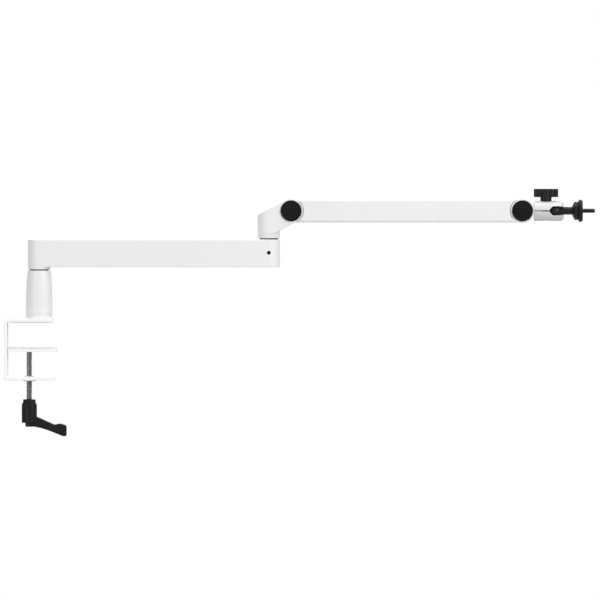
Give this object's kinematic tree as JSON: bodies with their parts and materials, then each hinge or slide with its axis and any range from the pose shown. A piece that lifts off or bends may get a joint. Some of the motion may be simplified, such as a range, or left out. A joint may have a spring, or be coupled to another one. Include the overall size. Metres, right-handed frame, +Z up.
{
  "type": "desk clamp boom arm",
  "caption": "Low-profile desk-clamp boom arm: screw clamp with lever, swivel post, hollow lower arm, swivelling elbow, tilting upper arm and small ball head with a camera stud.",
  "frame": {"origin": "on the base swivel axis, at the desk top, which is the underside of the clamp's top pad", "axes": "+X along the straightened arm from the clamp to the ball head, +Z up, -Y towards the side with the bolt heads and the ball head's notch"},
  "size_m": [0.7971, 0.056, 0.3341],
  "materials": {
    "white_coat": "fine matte white powder coat",
    "white_aluminium": "fine matte white powder coat on aluminium",
    "soft_pad": "matte light grey silicone",
    "zinc_steel": "bright zinc plated",
    "ground_steel": "ground and polished",
    "black_steel": "black oxide and anodised satin",
    "cast_aluminium": "as cast",
    "silver_aluminium": "satin anodised",
    "black_plastic": "fine textured moulded black",
    "bush_plastic": "smooth black acetal",
    "bronze": "sintered bronze",
    "black_rubber": "matte black rubber"
  },
  "bodies": {
    "clamp_body": {"clamp_bracket": "white_coat", "jaw_insert": "zinc_steel", "top_pad": "soft_pad", "post_screws": "zinc_steel", "base_post": "white_aluminium", "base_upper_bush": "bush_plastic", "base_lower_bush": "bush_plastic", "base_thrust_washer": "bush_plastic"},
    "pressure_body": {"pressure_plate": "white_coat", "pressure_pad": "soft_pad"},
    "screw_body": {"swivel_screw": "zinc_steel", "clamp_screw": "zinc_steel", "lever_insert": "zinc_steel", "lever_screw": "black_steel", "lever_spring": "zinc_steel"},
    "lever_body": {"clamp_lever": "black_plastic"},
    "lower_arm_body": {"lower_arm_shell": "white_aluminium", "lower_arm_cover": "white_aluminium", "cover_screws": "zinc_steel", "base_spindle": "ground_steel", "base_retainer_washer": "zinc_steel", "base_retainer_screw": "zinc_steel", "elbow_bush": "bush_plastic", "elbow_grub_screw": "black_steel", "elbow_thrust_washer": "bush_plastic"},
    "elbow_body": {"elbow_spindle": "ground_steel", "elbow_knuckle": "white_aluminium", "elbow_pivot_bolt": "zinc_steel", "elbow_disc_spring": "zinc_steel", "elbow_pivot_nut": "zinc_steel", "elbow_cap_front": "black_plastic", "elbow_cap_back": "black_plastic"},
    "upper_arm_body": {"upper_arm_tube": "white_aluminium", "elbow_hinge_block": "cast_aluminium", "head_hinge_block": "cast_aluminium", "elbow_friction_washers": "bush_plastic", "head_friction_washers": "bush_plastic", "block_screws": "zinc_steel", "elbow_pivot_sleeve": "bronze", "head_pivot_sleeve": "bronze"},
    "head_body": {"head_knuckle": "white_aluminium", "head_pivot_bolt": "zinc_steel", "head_disc_spring": "zinc_steel", "head_pivot_nut": "zinc_steel", "head_cap_front": "black_plastic", "head_cap_back": "black_plastic", "ball_head_screw": "zinc_steel", "ball_head_body": "silver_aluminium"},
    "knob_body": {"tension_screw": "zinc_steel", "tension_knob": "black_plastic"},
    "ball_body": {"ball": "black_steel"},
    "stem_body": {"stem": "black_steel", "camera_stud": "black_steel"},
    "wheel_body": {"lock_disc": "black_steel", "lock_disc_pad": "black_rubber"}
  },
  "joints": [
    {"name": "base_swivel", "type": "hinge", "parent": "clamp_body", "child": "lower_arm_body", "pos_m": [0, 0, 0.0715], "axis": [0, 0, 1], "continuous": true},
    {"name": "elbow_swivel", "type": "hinge", "parent": "lower_arm_body", "child": "elbow_body", "pos_m": [0.31, 0, 0.1135], "axis": [0, 0, 1], "continuous": true},
    {"name": "elbow_tilt", "type": "hinge", "parent": "elbow_body", "child": "upper_arm_body", "pos_m": [0.34, 0, 0.1505], "axis": [0, -1, 0], "range_deg": [0, 65]},
    {"name": "head_tilt", "type": "hinge", "parent": "upper_arm_body", "child": "head_body", "pos_m": [0.652, 0, 0.1505], "axis": [0, -1, 0], "range_deg": [-90, 90]},
    {"name": "knob_turn", "type": "hinge", "parent": "head_body", "child": "knob_body", "pos_m": [0.684, 0, 0.16325], "axis": [0, 0, 1], "range_deg": [-30, 180]},
    {"name": "ball_swing", "type": "hinge", "parent": "head_body", "child": "ball_body", "pos_m": [0.697, 0, 0.1505], "axis": [0, 0, 1], "range_deg": [-90, 20]},
    {"name": "stem_roll", "type": "hinge", "parent": "ball_body", "child": "stem_body", "pos_m": [0.697, 0, 0.1505], "axis": [1, 0, 0], "continuous": true},
    {"name": "wheel_turn", "type": "hinge", "parent": "stem_body", "child": "wheel_body", "pos_m": [0.7303, 0, 0.1505], "axis": [1, 0, 0], "continuous": true},
    {"name": "plate_travel", "type": "slide", "parent": "clamp_body", "child": "pressure_body", "axis": [0, 0, 1], "range_m": [-0.0315, 0.024]},
    {"name": "screw_turn", "type": "hinge", "parent": "pressure_body", "child": "screw_body", "pos_m": [-0.0135, 0, -0.0395], "axis": [0, 0, 1], "range_deg": [-9073, 6913]},
    {"name": "lever_lift", "type": "slide", "parent": "screw_body", "child": "lever_body", "axis": [0, 0, -1], "range_m": [0, 0.0045], "stiffness_N_per_m": 1200, "springref_m": -0.002, "deforming": ["lever_spring"]}
  ],
  "couplings": [
    {"joint": "screw_turn", "follows": "plate_travel", "rad_per_m": 5026.5}
  ]
}
